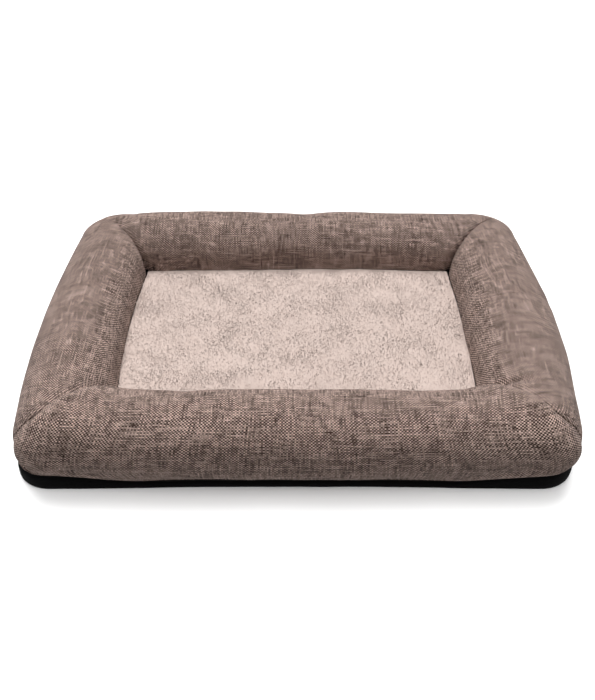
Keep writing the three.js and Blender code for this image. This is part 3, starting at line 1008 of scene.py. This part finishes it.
def buildBand(name, route):
    count = len(route) - 1
    full = 0.2 if name.startswith("rear") else 1.0  # the rear lengths lie flat behind the label

    def place(u, v):
        at = min(count - 1e-6, v * count)
        i = int(at)
        x = blendTo(route[i][0], route[i + 1][0], at - i)
        y = blendTo(route[i][1], route[i + 1][1], at - i)
        dx, dy = route[i + 1][0] - route[i][0], route[i + 1][1] - route[i][1]
        size = math.hypot(dx, dy)
        outward = Vector((dy / size, -dx / size, 0))
        belly = 4 * u * (1 - u) * band["belly"] * full
        tuck = -band["tuckTop"] * smooth(0.82, 1.0, u) - band["tuckLow"] * smooth(0.14, 0.0, u)
        ripple = noise.noise(Vector((x * 26, y * 26, u * 3))) * band["ripple"] * full
        outX, outY = splay(x, y)
        height = blendTo(0.0012, bandTop(x, y) - 0.0004, u)
        return Vector((x + outX, y + outY, height)) + outward * (belly + tuck + ripple - 0.0004)

    mesh = shapedGrid(f"band_{name}", 9, count, place)
    piece = addPiece(f"base_band_{name}", mesh, "base", "bed", "base_cloth", f"boxing_{name}")
    thicken(piece, band["cloth"])
    steps = [math.dist(route[i], route[i + 1]) for i in range(count)]
    tall = max(bandTop(*point) for point in route)
    area = sum(steps[i] * bandTop(*route[i]) for i in range(count))


def buildBottom():
    def place(u, v):
        x, y = (2 * u - 1), (2 * v - 1)
        radius = shape["baseCorner"] - 0.002
        halfX, halfY = baseHalf.x - 0.0012, baseHalf.y - 0.0012
        px, py = roundPlan(x * halfX, y * halfY, halfX, halfY, radius)
        outX, outY = splay(px, py)
        rise = 0.0006 * smooth(0.975, 1.0, max(abs(x), abs(y)))
        return Vector((px + outX, py + outY * smooth(-0.2, -0.3, py), 0.0009 + rise))

    mesh = shapedGrid("bottom", 64, 48, place)
    bottom = addPiece("base_bottom", mesh, "base", "bed", "base_cloth", "bottom_panel")
    addModifier(bottom, "SOLIDIFY", thickness=0.0012, offset=-1)
    bottom.data.flip_normals()


dots = {"pitch": 0.024, "radius": 0.0032, "height": 0.0009}


def buildDots():
    work = bmesh.new()
    bmesh.ops.create_uvsphere(work, u_segments=8, v_segments=6, radius=dots["radius"])
    upper = [vertex for vertex in work.verts if vertex.co.z > 1e-6]
    bmesh.ops.delete(work, geom=upper, context="VERTS")
    bmesh.ops.scale(work, vec=(1, 1, dots["height"] / dots["radius"]), verts=work.verts)
    bmesh.ops.holes_fill(work, edges=work.edges)
    first = work.verts[:]
    single = first + work.edges[:] + work.faces[:]
    halfX, halfY = baseHalf.x - 0.03, baseHalf.y - 0.03
    rows = int(halfY / dots["pitch"])
    columns = int(halfX / dots["pitch"])
    for row in range(-rows, rows + 1):
        shift = 0.5 * (row % 2)
        for column in range(-columns, columns + 1):
            x, y = (column + shift) * dots["pitch"], row * dots["pitch"]
            if abs(x) > halfX or abs(x) > halfX - 0.02 and abs(y) > halfY - 0.02:
                continue
            copy = bmesh.ops.duplicate(work, geom=single)["geom"]
            verts = [part for part in copy if isinstance(part, bmesh.types.BMVert)]
            bmesh.ops.translate(work, verts=verts, vec=(x, y, dots["height"] + 0.00005))
    bmesh.ops.delete(work, geom=first, context="VERTS")
    addPiece("grip_dots", meshFrom(work, "dots"), "silicone", "bed", "base_cloth")


for name, route in bandRoutes().items():
    buildBand(name, route)
buildBottom()
buildDots()
print("base made")


# the rear zip and the label

chain = {"pitch": 0.0013, "wire": 0.00027, "reach": 0.00025}  # reach: of the heads, between the rows
slider = {"plate": 0.0015, "flange": 0.0009, "bridge": 0.0035, "bridgeHalf": 0.0012, "tail": 0.80}
tab = {"halfPin": 0.0006, "play": 0.00035, "arm": 0.0015, "eye": 0.0035, "corner": 0.0022}


def plainBox(work, low, high, change=None):  # gives its edges
    made = bmesh.ops.create_cube(work, size=1)["verts"]
    for vertex in made:
        vertex.co = Vector([blendTo(low[i], high[i], vertex.co[i] + 0.5) for i in range(3)])
        if change:
            change(vertex)
    return {edge for vertex in made for edge in vertex.link_edges}


def roundEdges(work, edges, radius, segments):
    settings = {"affect": "EDGES", "profile": 0.5, "material": -1}
    bmesh.ops.bevel(work, geom=list(edges), offset=radius, segments=segments, **settings)


def roundedBox(work, low, high, radius, segments=2, change=None):
    roundEdges(work, plainBox(work, low, high, change), radius, segments)


def boxPiece(name, boxes, finish, body, slot, *nodes):
    work = bmesh.new()
    for box in boxes:
        roundedBox(work, *box)
    return addPiece(name, meshFrom(work, name), finish, body, slot, *nodes)


def repeat(piece, count, step):
    settings = {"use_relative_offset": False, "use_constant_offset": True, "constant_offset_displace": step}
    addModifier(piece, "ARRAY", count=count, **settings)


def buildCoil(row):
    low, high = (Vector(corner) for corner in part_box(f"zip_coil_{row}"))
    wire = chain["wire"]
    if row == "upper":
        low.z -= chain["reach"]
    else:
        high.z += chain["reach"]
    middle = (low + high) / 2
    halfY, halfZ = (high.y - low.y) / 2 - wire, (high.z - low.z) / 2 - wire

    def place(u, v):
        turn = 2 * math.pi * u
        around = 2 * math.pi * v
        out = Vector((0, math.cos(turn), math.sin(turn)))
        centre = Vector((chain["pitch"] * u, halfY * math.cos(turn), halfZ * math.sin(turn)))
        return middle + centre + out * wire * math.cos(around) + Vector((wire * math.sin(around), 0, 0))

    mesh = shapedGrid(f"coil_{row}", 9, 5, place, None, True)
    work = bmesh.new()
    work.from_mesh(mesh)
    bmesh.ops.translate(work, verts=work.verts, vec=(low.x - middle.x + wire, 0, 0))
    mesh = meshFrom(work, f"coil_{row}")
    coil = addPiece(f"zip_coil_{row}_row", mesh, "nylon", "bed", "zip_coil", f"zip_coil_{row}")
    repeat(coil, int((high.x - low.x - 2 * wire) / chain["pitch"]), (chain["pitch"], 0, 0))


def stitchRow(name, start, end, pitch, finish, slot):
    length = (end - start).length
    along = (end - start).normalized()
    work = bmesh.new()
    bmesh.ops.create_uvsphere(work, u_segments=6, v_segments=5, radius=0.5)
    stretch = Matrix.Diagonal((pitch * 0.72, 0.0005, 0.0006, 1))
    bmesh.ops.transform(work, matrix=stretch, verts=work.verts)
    bmesh.ops.translate(work, verts=work.verts, vec=start + along * pitch / 2)
    stitches = addPiece(name, meshFrom(work, name), finish, "bed", slot)
    repeat(stitches, int(length / pitch), tuple(along * pitch))


def buildZip():
    for row in ("lower", "upper"):
        low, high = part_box(f"zip_tape_{row}")
        strip = [(low, high, 0.0003, 1)]
        boxPiece(f"zip_tape_{row}_length", strip, "tape", "bed", "zip_tape", f"zip_tape_{row}")
        buildCoil(row)
        edge = low.z + 0.0012 if row == "lower" else high.z - 0.0012
        start = Vector((low.x + 0.004, high.y + 0.0001, edge))
        end = Vector((high.x - 0.004, high.y + 0.0001, edge))
        stitchRow(f"tape_stitches_{row}", start, end, 0.0034, "blackThread", "zip_tape")
    for end in ("left", "right"):
        staple = [(*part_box(f"zip_stop_{end}"), 0.0005)]
        boxPiece(f"zip_stop_{end}_staple", staple, "metal", "bed", "zip_metal", f"zip_stop_{end}")


def block(x, y, z, *edge):  # three ranges, then how the edges are rounded
    return Vector((x[0], y[0], z[0])), Vector((x[1], y[1], z[1])), *edge


def buildSlider():
    low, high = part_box("zip_slider")
    innerFace, chainFace = (corner.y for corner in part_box("zip_coil_upper"))
    innerFace -= 0.0004
    chainFace += 0.0004
    plate, bridge = slider["plate"], slider["bridge"]
    middle = (low.x + high.x) / 2
    zipZ = (low.z + high.z) / 2

    def shoulders(vertex):  # the tail, at the closed chain, is narrower
        if vertex.co.x < middle:
            vertex.co.z = zipZ + (vertex.co.z - zipZ) * slider["tail"]

    long, tall = (low.x, high.x), (low.z, high.z)
    narrow = (zipZ - slider["bridgeHalf"], zipZ + slider["bridgeHalf"])
    leg = (chainFace + plate - 0.0003, high.y)
    neck = (innerFace - 0.0002, chainFace + 0.0002)
    boxes = [
        block(long, (chainFace, chainFace + plate), tall, 0.0006, 3, shoulders),
        block(long, (low.y, low.y + plate), tall, 0.0006, 3, shoulders),
        block((middle - 0.002, middle + 0.002), neck, (zipZ - 0.0003, zipZ + 0.0003), 0.00012, 1),
        block((middle - bridge, middle - 0.0024), leg, narrow, 0.0003),
        block((middle + 0.0024, middle + bridge), leg, narrow, 0.0003),
        block((middle - bridge, middle + bridge), (high.y - 0.0011, high.y), narrow, 0.0003),
    ]
    for sign in (-1, 1):
        edge = zipZ + sign * (high.z - low.z) / 2
        rim = sorted((edge - sign * 0.0001, edge - sign * (slider["flange"] + 0.0001)))
        for depth in (
            (chainFace - 0.0006, chainFace + 0.0004),
            (low.y + plate - 0.0004, low.y + plate + 0.0005),
        ):
            boxes.append(block((middle, high.x - 0.0006), depth, rim, 0.0002, 1))
    boxPiece("slider_body", boxes, "metal", "zip_slider", "zip_metal", "zip_slider")


def buildPullTab():
    low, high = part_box("zip_pull_tab")
    zipZ = (low.z + high.z) / 2
    midY = (low.y + high.y) / 2
    halfPin = tab["halfPin"]
    pin = high.x - halfPin
    armEnd = pin - tab["eye"] - tab["play"] - slider["bridgeHalf"]
    inner = slider["bridgeHalf"] + tab["play"]
    outer = inner + tab["arm"]
    thick = (midY - halfPin, midY + halfPin)

    def shorten(vertex):  # the plate ends where the arms begin
        if vertex.co.x > pin - 0.002:
            vertex.co.x = armEnd

    arm = (armEnd - 0.0005, pin + halfPin)
    work = bmesh.new()
    for box in (
        block((pin - halfPin, pin + halfPin), thick, (zipZ - outer, zipZ + outer), 0.0003),
        block(arm, thick, (zipZ + inner, zipZ + outer), 0.0003),
        block(arm, thick, (zipZ - outer, zipZ - inner), 0.0003),
    ):
        roundedBox(work, *box)
    edges = plainBox(work, low, high, shorten)
    upright = [edge for edge in edges if abs(edge.verts[0].co.y - edge.verts[1].co.y) > 0.001]
    roundEdges(work, upright, tab["corner"], 4)
    wide = [face for face in work.faces if abs(face.normal.y) > 0.9 and face.calc_area() > 5e-5]
    for face in wide:
        bmesh.ops.inset_region(work, faces=[face], thickness=0.0009, depth=0)
        bmesh.ops.inset_region(work, faces=[face], thickness=0.0002, depth=-0.00025)
    addPiece("pull_tab", meshFrom(work, "pull_tab"), "metal", "zip_pull", "zip_metal", "zip_pull_tab")


def buildLabel():
    low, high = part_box("care_label")

    def place(u, v):
        x = blendTo(low.x, high.x, v)
        z = blendTo(low.z + 0.0004, high.z, u)
        curl = 0.0012 * (1 - u) ** 2 * (0.6 + 0.4 * math.sin(v * 5))
        return Vector((x, low.y + 0.0009 + curl, z))

    mesh = shapedGrid("label", 8, 18, place)
    label = addPiece("blank_care_label", mesh, "label", "bed", "label_cloth", "care_label")
    addModifier(label, "SOLIDIFY", thickness=0.0004, offset=0)
    face, edge = low.y + 0.0013, high.z - 0.0016
    start = Vector((low.x + 0.0020, face, edge))
    end = Vector((high.x - 0.0020, face, edge))
    stitchRow("label_stitches", start, end, 0.0026, "thread", "label_cloth")


buildZip()
buildSlider()
buildPullTab()
buildLabel()
print("zip and label made")


# the floor


def buildFloor():
    work = bmesh.new()
    bmesh.ops.create_grid(work, x_segments=1, y_segments=1, size=150)
    mesh = meshFrom(work, "floor")
    floor = bpy.data.objects.new("floor", mesh)
    scene.collection.objects.link(floor)
    paint = Finish("paleFloor", Roughness=0.9, Specular_IOR_Level=0.1)
    mesh.materials.append(paint.to(Base_Color=(studio["floor"],) * 3))
    floorOnly.objects.link(floor)
    floor.visible_diffuse = False  # the sky's lower half lights the undersides instead


buildFloor()
